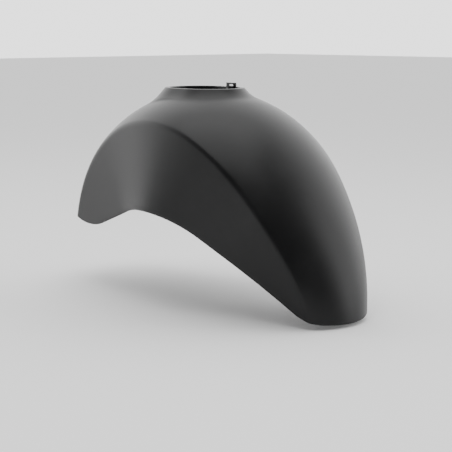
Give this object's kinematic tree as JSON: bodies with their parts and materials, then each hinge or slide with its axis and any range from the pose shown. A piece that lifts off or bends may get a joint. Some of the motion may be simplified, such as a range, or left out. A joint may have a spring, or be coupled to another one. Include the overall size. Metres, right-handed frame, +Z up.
{
  "type": "scooter front mudguard",
  "caption": "Moulded front mudguard for a small-wheeled scooter: creased, arched shell with an oval steering neck, recessed deck, fixing plate and rubber-mounted flange screws.",
  "frame": {"origin": "on the steering axis, at the underside of the fixing plate, which seats on the fork yoke", "axes": "+Z up the steering axis, +X to the nose (the vehicle's front), +Y to the vehicle's left"},
  "size_m": [0.4914, 0.241, 0.2814],
  "materials": {
    "shell": "satin black, fine moulded grain",
    "plate": "zinc plated, pressed",
    "sleeve": "zinc plated, turned",
    "grommet": "moulded rubber",
    "washer": "zinc plated, stamped",
    "screw": "zinc plated",
    "edging": "extruded rubber",
    "strap_mount": "moulded nylon"
  },
  "bodies": {
    "root": {"mudguard_shell": "shell", "fixing_plate": "plate", "screw_sleeves": "sleeve", "deck_grommets": "grommet", "screw_washers": "washer", "flange_screws": "screw", "column_edging": "edging", "strap_mount": "strap_mount"}
  },
  "joints": []
}
